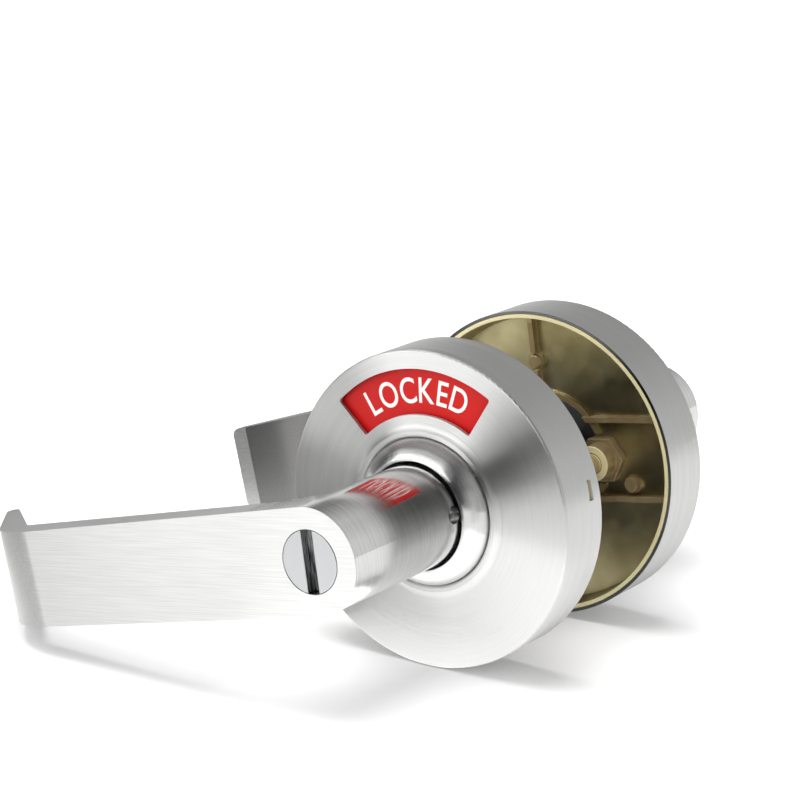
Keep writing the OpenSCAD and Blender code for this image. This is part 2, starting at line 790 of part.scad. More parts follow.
// A circlip in the hub's groove
module circlip() {
    color(spring_steel) hang()
        sector(groove_r + seat_fit, clip_r, clip_z, clip_z + clip_t, clip_open_a / 2 - 90, 360 - clip_open_a);
}

// A catch stud that holds the lever on the hub
module catch() {
    color(bright_steel) hang() translate([0, 0, catch_h]) {
        radial_pin(catch_flange_r, catch_in, catch_out, 0);
        radial_pin(catch_r, catch_in, catch_tip, 0);
    }
}

// A wire spring in the hub that presses the catch out
module catch_spring() {
    color(spring_steel) hang() translate([-catch_spring_set, 0, catch_h]) rotate([0, 0, -catch_spring_a])
        rotate_extrude(angle = 2 * catch_spring_a) translate([catch_spring_r, 0]) circle(catch_wire_r);
}

// Opening in the housing that the drive pin sweeps through
module pin_window(a1, sweep) {
    play = asin((pin_r + pin_gap) / bush_r);
    sector(bush_r - cut, boss_r + cut, pin_low, pin_high, a1 - play, sweep + 2 * play);
}

module outside_rose() {
    on_outside() rose(true, notch_a);
}

module outside_base_plate() {
    on_outside() base_plate();
}

module outside_bearing_housing() {
    on_outside() color(grey_zinc) difference() {
        housing_body(false);
        pin_window(drive_pin_a, indicator_turn);
    }
}

module outside_bush() {
    on_outside() bush();
}

module outside_collar() {
    on_outside() collar();
}

module outside_rivets() {
    on_outside() rivets();
}

module threaded_studs() {
    on_outside() posts(bolt_r + run_fit);
}

// Bolts from the inside housing through the posts into the outside studs
module through_bolts() {
    color(yellow_zinc) on_inside() at_posts() {
        translate([0, 0, -door_t - floor_h + bolt_short])
            cylinder(r = bolt_r, h = door_t + floor_h - bolt_short + flange_top);
        difference() {
            translate([0, 0, flange_top]) cylinder(r = bolt_head_r, h = bolt_head_h);
            translate([-bolt_head_r, -bolt_slot_w / 2, flange_top + bolt_head_h / 2])
                cube([2 * bolt_head_r, bolt_slot_w, bolt_head_h]);
        }
    }
}

module outside_return_spring() {
    on_outside() return_spring();
}

module inside_rose() {
    on_inside() rose(false, 180 - notch_a);
}

module inside_base_plate() {
    on_inside() base_plate();
}

module inside_bearing_housing() {
    on_inside() color(grey_zinc) difference() {
        housing_body(true);
        translate([0, 0, pin_h]) radial_pin(pin_r + seat_fit, 0, boss_r + cut, guide_pin_a);
    }
}

module inside_bush() {
    on_inside() bush();
}

module inside_collar() {
    on_inside() collar();
}

module inside_rivets() {
    on_inside() rivets();
}

module mounting_posts() {
    on_inside() posts(bolt_r + hole_gap);
}

// Pin in the inside housing that keeps the push rod from turning
module rod_guide_pin() {
    color(bright_steel) on_inside() translate([0, 0, pin_h])
        radial_pin(pin_r, shaft_r - pin_r, boss_r - run_gap, guide_pin_a);
}

module inside_return_spring() {
    on_inside() return_spring();
}

module outside_lever() {
    on_outside() lever(plug_r + plug_gap, plug_pocket_z, plug_chamfer);
}

module outside_hub() {
    on_outside() hub(drive_pin_a, indicator_turn);
}

module outside_spindle() {
    on_outside() spindle();
}

module outside_spring_driver() {
    on_outside() spring_driver();
}

module outside_circlip() {
    on_outside() circlip();
}

module outside_catch_spring() {
    on_outside() catch_spring();
}

module outside_catch() {
    on_outside() catch();
}

module inside_lever() {
    on_inside() lever(button_r + plug_gap, button_pocket_z, bore_chamfer);
}

module inside_hub() {
    on_inside() hub(guide_pin_a, 0);
}

module inside_spindle() {
    on_inside() spindle();
}

module inside_spring_driver() {
    on_inside() spring_driver();
}

module inside_circlip() {
    on_inside() circlip();
}

module inside_catch_spring() {
    on_inside() catch_spring();
}

module inside_catch() {
    on_inside() catch();
}

// Spring that pushes the button out
module button_spring() {
    color(spring_steel) on_inside() wire(button_spring_path(), button_wire_r);
}

// Coin-slot plug in the outside lever's face
module emergency_plug() {
    color(bright_steel) on_outside() difference() {
        translate([0, 0, lever_h - plug_l]) cylinder(r = plug_r, h = plug_l);
        translate([-coin_w / 2, -plug_r - cut, lever_h - coin_depth])
            cube([coin_w, 2 * plug_r + 2 * cut, coin_depth + cut]);
        translate([0, 0, lever_h - plug_l - cut]) cylinder(r = shaft_r + seat_fit, h = socket_l + cut);
    }
}

// Shaft from the plug to the cam blade
module plug_shaft() {
    top = lever_h - plug_l + socket_l - run_gap;
    color(bright_steel) on_outside() difference() {
        translate([0, 0, shaft_end]) cylinder(r = shaft_r, h = top - shaft_end);
        translate([0, 0, pin_h]) radial_pin(pin_r + seat_fit, -shaft_r - cut, shaft_r + cut, drive_pin_a);
        rotate([0, 0, blade_angle(shaft_end)])
            translate([-blade_w / 2 - seat_fit, -blade_t / 2 - seat_fit, shaft_end - cut])
            cube([blade_w + 2 * seat_fit, blade_t + 2 * seat_fit, tang_l + cut + seat_fit]);
    }
}

// Pin that carries the shaft's turn out to the indicator ring
module drive_pin() {
    color(bright_steel) on_outside() translate([0, 0, pin_h])
        radial_pin(pin_r, -shaft_r, sleeve_out - run_gap, drive_pin_a);
}

// Ring that turns on the housing's boss under the window
module indicator_ring() {
    color(grey_zinc) on_outside() difference() {
        union() {
            ring(sleeve_r, sleeve_out, sleeve_z, sleeve_top);
            ring(sleeve_r, disc_r, sleeve_top - disc_t, sleeve_top);
        }
        translate([0, 0, pin_h])
            radial_pin(pin_r + seat_fit, 0, sleeve_out - run_gap + seat_fit, drive_pin_a);
    }
}

// A status panel on the ring, centred at angle a
module status_panel(a) {
    half = window_a + asin(panel_lap / window_r1);
    sector(window_r1 - panel_lap, window_r2 + panel_lap, sleeve_top, panel_top, a - half, 2 * half);
}

module red_panel() {
    color(status_red) on_outside() status_panel(90);
}

module green_panel() {
    color(status_green) on_outside() status_panel(90 - indicator_turn);
}

// Angle of the cam blade at a level, level with x at the cap's slot
function blade_angle(h) = blade_rate * (h + door_t + cap_mid);

// Section of the cam blade at angle a and level h
function blade_section(a, h) = [for (corner = [[-1, 1], [1, 1], [1, -1], [-1, -1]]) let (
    x = corner.x * blade_w / 2,
    y = corner.y * blade_t / 2
) [x * cos(a) - y * sin(a), x * sin(a) + y * cos(a), h]];

// Twisted blade that turns the shaft as the rod's slotted cap slides along it
module cam_blade() {
    color(spring_steel) on_outside() skin(concat(
        [for (i = [0 : blade_steps]) let (h = blade_tip_h + (shaft_end - blade_tip_h) * i / blade_steps)
            blade_section(blade_angle(h), h)],
        [blade_section(blade_angle(shaft_end), shaft_end + tang_l)]));
}

// Push button in the inside lever's face
module push_button() {
    front = lever_h + button_proud;
    color(satin_chrome) on_inside() difference() {
        rotate_extrude() {
            translate([0, button_back]) square([button_r, button_l - button_edge_r]);
            translate([0, button_back]) square([button_r - button_edge_r, button_l]);
            translate([button_r - button_edge_r, front - button_edge_r]) circle(button_edge_r);
        }
        translate([0, 0, button_back - cut]) cylinder(r = shaft_r + seat_fit, h = socket_l + cut);
    }
}

// Rod from the button to the cam, with a keyway for the guide pin and a slotted cap
module push_rod() {
    top = button_back + socket_l - run_gap;
    bore_l = button_travel + rod_cap_t + bore_spare;
    key_low = pin_h - pin_r - pin_gap - button_travel;
    key_l = button_travel + 2 * (pin_r + pin_gap);
    key_w = pin_r + run_fit;
    color(bright_steel) on_inside() difference() {
        union() {
            translate([0, 0, rod_tip]) cylinder(r = shaft_r, h = top - rod_tip);
            translate([0, 0, rod_tip]) cylinder(r = rod_end_r, h = rod_cap_t + bore_l + rod_gap);
        }
        translate([0, 0, rod_tip + rod_cap_t]) cylinder(r = rod_bore_r, h = bore_l);
        translate([-blade_w / 2 - slot_gap, -blade_t / 2 - slot_gap, rod_tip - cut])
            cube([blade_w + 2 * slot_gap, blade_t + 2 * slot_gap, rod_cap_t + 2 * cut]);
        rotate([0, 0, guide_pin_a]) translate([shaft_r - pin_r - run_gap, -key_w, key_low])
            cube([shaft_r, 2 * key_w, key_l]);
    }
}

outside_rose();
outside_base_plate();
outside_bearing_housing();
outside_bush();
outside_collar();
outside_rivets();
threaded_studs();
through_bolts();
outside_return_spring();
inside_rose();
inside_base_plate();
inside_bearing_housing();
inside_bush();
inside_collar();
inside_rivets();
mounting_posts();
rod_guide_pin();
inside_return_spring();
outside_lever();
outside_hub();
outside_spindle();
outside_spring_driver();
outside_circlip();
outside_catch_spring();
outside_catch();
inside_lever();
inside_hub();
inside_spindle();
inside_spring_driver();
inside_circlip();
inside_catch_spring();
inside_catch();
button_spring();
emergency_plug();
plug_shaft();
drive_pin();
indicator_ring();
red_panel();
green_panel();
cam_blade();
push_button();
push_rod();
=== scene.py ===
"""Privacy lever lock set: finished pieces, lettering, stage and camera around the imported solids."""
import json
import math

import bmesh
import bpy
from bpy.props import FloatProperty, FloatVectorProperty, PointerProperty
from mathutils import Euler, Matrix, Vector

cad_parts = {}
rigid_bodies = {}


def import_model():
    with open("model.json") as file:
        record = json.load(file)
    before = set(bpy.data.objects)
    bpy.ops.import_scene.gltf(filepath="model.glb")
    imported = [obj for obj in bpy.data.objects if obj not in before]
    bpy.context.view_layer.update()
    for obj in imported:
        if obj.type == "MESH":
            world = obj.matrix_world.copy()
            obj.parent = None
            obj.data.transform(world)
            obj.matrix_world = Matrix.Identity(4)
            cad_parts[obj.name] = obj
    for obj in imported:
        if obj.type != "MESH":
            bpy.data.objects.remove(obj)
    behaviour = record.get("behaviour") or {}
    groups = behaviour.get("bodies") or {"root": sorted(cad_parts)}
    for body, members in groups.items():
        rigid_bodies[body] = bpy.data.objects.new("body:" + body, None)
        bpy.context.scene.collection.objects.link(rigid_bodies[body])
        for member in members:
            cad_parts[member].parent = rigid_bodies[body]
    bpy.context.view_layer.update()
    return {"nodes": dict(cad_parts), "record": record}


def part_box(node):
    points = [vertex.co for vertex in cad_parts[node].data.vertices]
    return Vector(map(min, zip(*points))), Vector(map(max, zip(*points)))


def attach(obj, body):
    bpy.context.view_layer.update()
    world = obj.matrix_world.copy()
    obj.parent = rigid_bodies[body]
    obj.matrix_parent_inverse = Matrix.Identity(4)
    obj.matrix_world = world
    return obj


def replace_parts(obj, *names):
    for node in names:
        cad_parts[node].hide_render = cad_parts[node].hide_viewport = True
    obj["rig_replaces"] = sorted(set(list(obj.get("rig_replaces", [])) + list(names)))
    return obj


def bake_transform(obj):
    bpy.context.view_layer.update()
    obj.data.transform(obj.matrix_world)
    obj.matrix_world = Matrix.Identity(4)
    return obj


bl_info = {
    "name": "Privacy lever lock set",
    "version": (1, 0, 0),
    "blender": (4, 5, 0),
    "location": "View3D > Sidebar > Lock set",
    "description": "Builds the finished pieces, the stage and the camera of a privacy lever lock set",
    "category": "Object",
}

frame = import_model()
MM = 0.001
SIDES = ("outside", "inside")

# The two halves of the set mirror each other about the door's middle, so materials measure how far out they are
# from there
DOOR_MIDDLE = 19 * MM

# Roses: how much of the sheet's cut end against the door is painted dark, as a painted shadow line against the base
# plate
SHADOW_LINE_BAND = 0.1 * MM

# Levers: their slope, the level of the bars' faces from the door's middle, and where along X the brushing starts and
# is complete
LEVER_SAG = math.radians(5)
FACE_LEVEL = 90 * MM
BAR_START = -14 * MM
BAR_BRUSHED = -22 * MM

# Emergency plug: the level of its face, and how far under it the slot starts to darken and is fully dark
PLUG_FACE = -71.2 * MM
DARKENING_START = 0.25 * MM
DARKENING_COMPLETE = 0.5 * MM

# Base plates: the level out of the door face that raised parts pass, the radius inside which they are, the width of
# the edge at the door that is painted pale as a painted highlight, how squarely a face of the wall faces outwards, and
# how far the raised parts are browned and dulled
RIB_LEVEL = 7.4 * MM
RIB_REACH = 40 * MM
HIGHLIGHT_BAND = 0.4 * MM
OUTWARD = 0.5
BROWNED_SHARE = 0.55

# Status words: the level of the panels' faces out of the door face, the share of a font's size that a capital takes,
# and how far the letters are squeezed
PANEL_TOP = 15.9 * MM
CAPITAL_SHARE = 0.69
LETTER_SQUEEZE = 0.8

# Share of its wire's thickness that a catch spring keeps when it is rolled to a strip
STRIP_SHARE = 0.17

# Merging and shading of copied solids
MERGE_DISTANCE = 0.002 * MM
FLAT_ANGLE = math.radians(0.3)
SHARP_ANGLE = math.radians(32)

# Spinning marks: their spacing, and how often they change round the axis
FINE_RINGS = (0.35 * MM, 1.2)
DEEP_RINGS = (1.3 * MM, 0.7)

# Brush marks on the bars: their spacing and their length
BRUSH_SPACING = 0.25 * MM
BRUSH_RUN = 16 * MM

# Brushed and spun surfaces: depth of the marks and how strongly they show, how far they change the gloss, and how far
# they darken the plating
MARK_DEPTH = 0.006 * MM
MARK_STRENGTH = 0.3
GLOSS_CHANGE = 0.12
SPUN_WEAR = 0.14
BRUSHED_WEAR = 0.18

# A noise texture seldom leaves this range
NOISE_LOW = 0.3
NOISE_HIGH = 0.7

# Milled slot of the plug: spacing, length and depth of the marks, where in them the dark tone ends and the steel
# starts, and roughness of the plug's face and of the slot
MILL_SPACING = 0.4 * MM
MILL_RUN = 6 * MM
MILL_DEPTH = 0.03 * MM
SLOT_FLOOR_RAMP = (0.38, 0.62)
PLUG_ROUGHNESS = (0.3, 0.6)

# Turned metal: how much longer a mark is than the marks are apart, its depth, and how strongly it shows
TURNED_RUN = 8
TURNED_DEPTH = 0.02 * MM
TURNED_STRENGTH = 0.2

# Passivate: width of its clouds, of its stains and of the pressing's grain, the grain's depth and how strongly it shows
CLOUD_WIDTH = 16 * MM
STAIN_WIDTH = 6 * MM
GRAIN_WIDTH = 0.6 * MM
GRAIN_DEPTH = 0.05 * MM
GRAIN_STRENGTH = 0.06

# Passivate: where its clouds turn from dark to light, where stains start and are complete and how brown they are, and
# how metallic and how rough it is from its brightest to its dullest parts
CLOUD_RAMP = (0.34, 0.66)
STAIN_RAMP = (0.5, 0.75)
STAIN_SHARE = 0.2
PLATE_METAL = (0.97, 0.25)
PLATE_ROUGHNESS = (0.28, 0.38)

# Enamel and ink: width and depth of the peel's dimples and how strongly they show, darkest and lightest tone, roughness
# of the panels and of the ink, and how little of a mirror both are
PEEL_WIDTH = 0.8 * MM
PEEL_DEPTH = 0.02 * MM
PEEL_STRENGTH = 0.08
PEEL_TONE = (0.94, 1.05)
ENAMEL_ROUGHNESS = 0.35
INK_ROUGHNESS = 0.5
ENAMEL_SPECULAR = 0.2

# Finishes of the inner works by material slot: material, colour, lowest and highest roughness, spacing of the marks
WORKS = {
    "bright_steel": ("bright_steel_turned", "steel", (0.18, 0.3), 0.4 * MM),
    "spring_steel": ("spring_steel_oiled", "spring", (0.22, 0.35), 0.6 * MM),
    "grey_zinc": ("zinc_die_cast_with_painted_shade", "zinc", (0.4, 0.55), 0.5 * MM),
    "bearing_bronze": ("bronze_turned", "bronze", (0.25, 0.4), 0.4 * MM),
}

# The camera that the photograph was fitted with, in this frame
CAMERA_PLACE = (0.4193, -0.6021, 0.1582)
CAMERA_RIGHT = (0.8161, 0.5648, -0.1220)
CAMERA_UP = (-0.0010, 0.2125, 0.9772)
CAMERA_LENS = 122.4

# The table that the set lies on: its slope, its drop under the lock's axis, and its size and light in the studio
TABLE_TILT = math.radians(8.5)
TABLE_DROP = 44.6 * MM
TABLE_SIZE = (12, 12)
TABLE_ROUGHNESS = 0.9
TABLE_SPECULAR = 0.1
TABLE_GLOW = 0.15

# Cards that only reflections see, dead matt: width and height, place, turn and brightness
CARD_ROUGHNESS = 1.0
CARD_SPECULAR = 0.0
UPRIGHT = (math.radians(90), 0, 0)
LEVEL = (0, TABLE_TILT, 0)
CARDS = (
    ("lever_flag", (0.1, 0.09), (-0.15, 0.06, -0.017), UPRIGHT, 0.03),
    ("plate_flag", (0.076, 0.06), (0.002, 0.016, -0.005), UPRIGHT, 0.0),
    ("reflector", (0.135, 0.108), (0.0225, -0.071, -0.0480), LEVEL, 2.2),
    ("side_card", (0.07, 0.07), (0.105, -0.085, 0.0), UPRIGHT, 0.9),
    ("front_flag", (0.34, 0.065), (-0.09, -0.4, -0.025), UPRIGHT, 0.02),
    ("left_flag", (0.15, 0.2), (-0.265, -0.125, -0.0045), LEVEL, 0.05),
)

# Lamps, which point at the lock's axis: kind, place, whether only reflections see it, and its settings
LAMPS = (
    ("ceiling", "SUN", (0.1, -0.05, 1.0), False, {"energy": 2.4, "angle": math.radians(40)}),
    ("fill", "SUN", (-0.3, -0.8, 0.8), False, {"energy": 3.3, "angle": math.radians(110)}),
    ("key", "AREA", (-0.56, -1.1, 0.5), True, {"energy": 11.2, "shape": "RECTANGLE", "size": 1.15, "size_y": 0.57}),
)

# The studio's surroundings: the axis along which each brightness changes, from where to where, and from what to what
SURROUNDINGS = {
    "walls": ("X", -0.5, 0.2, 0.2, 1.0),
    "height": ("Z", 0.2, 0.5, 1.0, 0.8),
    "low": ("Z", 0.25, 0.4, 0.9, 0.3),
    "left": ("X", 0.0, 0.35, 1.0, 0.8),
    "front": ("X", 0.45, 0.8, 0.03, 0.5),
    "behind": ("Y", -0.05, 0.25, 0.0, 1.0),
    "above": ("Z", 0.7, 0.95, 0.0, 1.0),
}
CEILING_BRIGHTNESS = 0.3


def linear(code):
    """Turns an sRGB hex code into a linear colour."""
    values = [int(code[i:i + 2], 16) / 255 for i in (0, 2, 4)]
    return tuple(v / 12.92 if v <= 0.04045 else ((v + 0.055) / 1.055) ** 2.4 for v in values) + (1.0,)


class LockSizes(bpy.types.PropertyGroup):
    """Sizes of the detail that the finished pieces add to the solids."""

    plated_edge: FloatProperty(
        name="Plated edge", description="Radius of the broken edges on the levers", default=0.35 * MM, unit="LENGTH")
    sheet_edge: FloatProperty(
        name="Sheet edge", description="Radius of the edges of pressed sheet", default=0.2 * MM, unit="LENGTH")
    turned_edge: FloatProperty(
        name="Turned edge", description="Radius of the edges of turned pieces", default=0.15 * MM, unit="LENGTH")
    letter_height: FloatProperty(
        name="Letter height", description="Height of the status words", default=6.9 * MM, unit="LENGTH")
    letter_radius: FloatProperty(
        name="Letter radius", description="Distance of the words' foot from the axis", default=29.6 * MM, unit="LENGTH")
    letter_gap: FloatProperty(
        name="Letter gap", description="Gap from one letter to the next", default=1.15 * MM, unit="LENGTH")
    letter_weight: FloatProperty(
        name="Letter weight", description="How much fuller the strokes are drawn", default=0.08 * MM, unit="LENGTH")
    letter_ink: FloatProperty(
        name="Letter ink", description="Half thickness of the ink", default=0.02 * MM, unit="LENGTH")


class LockFinish(bpy.types.PropertyGroup):
    """Gloss of the plated finishes."""

    spun: FloatProperty(
        name="Spun", description="Roughness of the spun roses", default=0.39, subtype="FACTOR")
    turned: FloatProperty(
        name="Turned", description="Roughness of the collars and the push button", default=0.24, subtype="FACTOR")
    brushed: FloatProperty(
        name="Brushed", description="Roughness of the levers' bars", default=0.38, subtype="FACTOR")
    polished: FloatProperty(
        name="Polished", description="Roughness of the levers' shanks", default=0.085, subtype="FACTOR")


class LockColours(bpy.types.PropertyGroup):
    """Colours of the finishes."""

    chrome: FloatVectorProperty(
        name="Satin chrome", description="Plating of the roses and levers", default=linear("CDCDCC"), size=4,
        subtype="COLOR")
    # Painted shadow: the dark line painted on the roses' cut end where they meet the base plates
    painted_shadow_end: FloatVectorProperty(
        name="Raw end", description="Cut end of the roses' sheet", default=linear("6A6A67"), size=4, subtype="COLOR")
    steel: FloatVectorProperty(
        name="Bright steel", description="Turned steel pieces", default=linear("BABBBC"), size=4, subtype="COLOR")
    spring: FloatVectorProperty(
        name="Spring steel", description="Oiled springs and clips", default=linear("7C7D7F"), size=4, subtype="COLOR")
    # Cast zinc, drawn darker than bare zinc: partly its own grey, partly painted shade for the housings deep in the
    # lock
    zinc: FloatVectorProperty(
        name="Cast zinc", description="Housings and ring", default=linear("7F8184"), size=4, subtype="COLOR")
    bronze: FloatVectorProperty(
        name="Bearing bronze", description="Bushes", default=linear("B98F56"), size=4, subtype="COLOR")
    passivate_light: FloatVectorProperty(
        name="Passivate, light", description="Thin part of the yellow passivate", default=linear("D2C89E"), size=4,
        subtype="COLOR")
    passivate_dark: FloatVectorProperty(
        name="Passivate, dark", description="Thick part of the yellow passivate", default=linear("B0A57A"), size=4,
        subtype="COLOR")
    passivate_stain: FloatVectorProperty(
        name="Passivate, stain", description="Brown of the ribs and stains", default=linear("8C6A45"), size=4,
        subtype="COLOR")
    # Painted highlight: the pale colour painted on the plates' and posts' edges at the door and on the wall's outer
    # side
    passivate_edge_highlight: FloatVectorProperty(
        name="Passivate, edge", description="Bright edges of the plates and posts", default=linear("EBE0B2"), size=4,
        subtype="COLOR")
    red: FloatVectorProperty(
        name="Status red", description="Enamel of the locked panel", default=linear("C91714"), size=4, subtype="COLOR")
    green: FloatVectorProperty(
        name="Status green", description="Enamel of the open panel", default=linear("1F8A4C"), size=4, subtype="COLOR")
    # Dark tone of the coin slot's floor, below the plug's face
    dark_slot_floor: FloatVectorProperty(
        name="Slot dirt", description="Dirt in the coin slot", default=linear("454546"), size=4, subtype="COLOR")
    lettering: FloatVectorProperty(
        name="Lettering", description="Ink of the status words", default=linear("F7F5F2"), size=4, subtype="COLOR")
    table: FloatVectorProperty(
        name="Table", description="Studio table", default=linear("DADADA"), size=4, subtype="COLOR")
    card: FloatVectorProperty(
        name="Cards", description="Studio cards, apart from their light", default=linear("000000"), size=4,
        subtype="COLOR")
    studio_light: FloatVectorProperty(
        name="Studio light", description="Light from the table and the cards", default=linear("FFFFFF"), size=4,
        subtype="COLOR")


def feed(tree, node, sources):
    """Links a node's sockets to other nodes' outputs, or sets their values."""
    for socket, source in sources.items():
        if isinstance(source, bpy.types.NodeSocket):
            tree.links.new(source, node.inputs[socket])
        else:
            node.inputs[socket].default_value = source


def add(tree, kind, sources=None, **settings):
    """Adds a node with its settings, and links or sets its sockets."""
    node = tree.nodes.new(kind)
    for name, value in settings.items():
        setattr(node, name, value)
    feed(tree, node, sources or {})
    return node


def material_of(name, finish, *settings):
    """The material of a name, which a finish makes the first time that it is asked for."""
    material = bpy.data.materials.get(name)
    if material is None:
        material = bpy.data.materials.new(name)
        material.use_nodes = True
        finish(material.node_tree, material.node_tree.nodes["Principled BSDF"], *settings)
    return material


def places(tree):
    """Where a point is: its place, that place split, how far it is from the door's middle, and its radius and
    direction from the lock's axis."""
    place = add(tree, "ShaderNodeTexCoord").outputs["Object"]
    split = add(tree, "ShaderNodeSeparateXYZ", {0: place}).outputs
    from_middle = add(tree, "ShaderNodeMath", {0: split["Y"], 1: DOOR_MIDDLE}, operation="SUBTRACT").outputs["Value"]
    out = add(tree, "ShaderNodeMath", {0: from_middle}, operation="ABSOLUTE").outputs["Value"]
    flat = add(tree, "ShaderNodeVectorMath", {0: place, 1: (1, 0, 1)}, operation="MULTIPLY").outputs["Vector"]
    radius = add(tree, "ShaderNodeVectorMath", {0: flat}, operation="LENGTH").outputs["Value"]
    unit = add(tree, "ShaderNodeVectorMath", {0: flat}, operation="NORMALIZE").outputs["Vector"]
    return place, split, out, radius, unit


def ring_marks(tree, unit, along, spacing, turn):
    """The coordinates of marks that run round the lock's axis."""
    counted = add(tree, "ShaderNodeMath", {0: along, 1: 1 / spacing}, operation="MULTIPLY").outputs["Value"]
    rows = add(tree, "ShaderNodeCombineXYZ", {"Y": counted}).outputs["Vector"]
    spot = add(tree, "ShaderNodeVectorMath", {0: unit, 1: (turn, 0, turn), 2: rows}, operation="MULTIPLY_ADD")
    return spot.outputs["Vector"]


def brush(tree, shader, groove, marks, roughness, wear):
    """Gives a shader the gloss of a brushed surface, whose reflections spread across the grooves and stay sharp along
    them, and returns the colour of its plating."""
    normal = add(tree, "ShaderNodeTexCoord").outputs["Normal"]
    across = add(tree, "ShaderNodeVectorMath", {0: groove, 1: normal}, operation="CROSS_PRODUCT").outputs["Vector"]
    spread = add(tree, "ShaderNodeVectorTransform", {"Vector": across}, vector_type="VECTOR", convert_from="OBJECT",
                 convert_to="WORLD").outputs["Vector"]
    gloss = add(tree, "ShaderNodeMapRange", {"Value": marks, "From Min": NOISE_LOW, "From Max": NOISE_HIGH,
                                             "To Min": 1 - GLOSS_CHANGE, "To Max": 1 + GLOSS_CHANGE})
    rough = add(tree, "ShaderNodeMath", {0: gloss.outputs["Result"], 1: roughness}, operation="MULTIPLY")
    bump = add(tree, "ShaderNodeBump", {"Height": marks, "Strength": MARK_STRENGTH, "Distance": MARK_DEPTH})
    worn = add(tree, "ShaderNodeMapRange", {"Value": marks, "From Min": NOISE_LOW, "From Max": NOISE_HIGH,
                                            "To Min": 1 - wear})
    feed(tree, shader, {"Metallic": 1.0, "Anisotropic": 1.0, "Roughness": rough.outputs["Value"], "Tangent": spread,
                        "Normal": bump.outputs["Normal"]})
    chrome = bpy.context.scene.lock_colours.chrome
    tone = add(tree, "ShaderNodeHueSaturation", {"Color": chrome, "Value": worn.outputs["Result"]})
    return tone.outputs["Color"]


def spun_satin_chrome(tree, shader, roughness):
    """Satin chrome over spun sheet: fine rings round the lock's axis, which fan the reflections out."""
    _, split, out, radius, unit = places(tree)
    groove = add(tree, "ShaderNodeVectorMath", {0: unit, 1: (0, 1, 0)}, operation="CROSS_PRODUCT").outputs["Vector"]
    across = add(tree, "ShaderNodeMath", {0: radius, 1: split["Y"]}, operation="ADD").outputs["Value"]
    # Spinning marks 0.1 mm apart are too fine to show, so they are drawn 0.35 mm apart, with deeper ones 1.3 mm apart
    marks = []
    for spacing, turn in (FINE_RINGS, DEEP_RINGS):
        spot = ring_marks(tree, unit, across, spacing, turn)
        marks.append(add(tree, "ShaderNodeTexNoise", {"Vector": spot, "Scale": 1.0, "Detail": 1.5}).outputs["Fac"])
    both = add(tree, "ShaderNodeMix", {"Factor": 0.5, "A": marks[0], "B": marks[1]}).outputs["Result"]
    plated = brush(tree, shader, groove, both, roughness, SPUN_WEAR)
    # The sheet's cut end against the door is painted dark: a painted shadow line where the rose meets the base plate
    end = add(tree, "ShaderNodeMath", {0: out, 1: DOOR_MIDDLE + SHADOW_LINE_BAND}, operation="LESS_THAN").outputs["Value"]
    shadow_line_tone = bpy.context.scene.lock_colours.painted_shadow_end
    tone = add(tree, "ShaderNodeMix", {"Factor": end, "A": plated, "B": shadow_line_tone}, data_type="RGBA").outputs["Result"]
    feed(tree, shader, {"Base Color": tone})


def brushed_satin_chrome(tree, shader):
    """Satin chrome on the levers: brushed along the bar, and polished round the shank in a lathe."""
    finish = bpy.context.scene.lock_finish
    place, split, out, _, unit = places(tree)
    face = add(tree, "ShaderNodeMath", {0: out, 1: FACE_LEVEL}, operation="GREATER_THAN").outputs["Value"]
    beyond = add(tree, "ShaderNodeMath", {0: split["X"], 1: BAR_START}, operation="LESS_THAN").outputs["Value"]
    on_bar = add(tree, "ShaderNodeMath", {0: face, 1: beyond}, operation="MAXIMUM").outputs["Value"]
    fading = add(tree, "ShaderNodeMapRange", {"Value": split["X"], "From Min": BAR_START, "From Max": BAR_BRUSHED})
    matt = add(tree, "ShaderNodeMath", {0: face, 1: fading.outputs["Result"]}, operation="MAXIMUM").outputs["Value"]
    # Brush marks 0.1 mm apart are drawn 0.25 mm apart so that they show, and run on for about 16 mm
    bar_spot = add(tree, "ShaderNodeMapping", {"Vector": place, "Rotation": (0, LEVER_SAG, 0), "Scale": (
        1 / BRUSH_RUN, 1 / BRUSH_SPACING, 1 / BRUSH_SPACING)}).outputs["Vector"]
    bar_groove = (math.cos(LEVER_SAG), 0, math.sin(LEVER_SAG))
    shank_spot = ring_marks(tree, unit, split["Y"], *FINE_RINGS)
    shank_groove = add(tree, "ShaderNodeVectorMath", {0: unit, 1: (0, 1, 0)}, operation="CROSS_PRODUCT")
    spot = add(tree, "ShaderNodeMix", {"Factor": on_bar, "A": shank_spot, "B": bar_spot}, data_type="VECTOR")
    groove = add(tree, "ShaderNodeMix", {"Factor": on_bar, "A": shank_groove.outputs["Vector"], "B": bar_groove},
                 data_type="VECTOR")
    marks = add(tree, "ShaderNodeTexNoise", {"Vector": spot.outputs["Result"], "Scale": 1.0, "Detail": 1.5})
    roughness = add(tree, "ShaderNodeMix", {"Factor": matt, "A": finish.polished, "B": finish.brushed})
    feed(tree, shader, {"Base Color": brush(tree, shader, groove.outputs["Result"], marks.outputs["Fac"],
                                            roughness.outputs["Result"], BRUSHED_WEAR)})


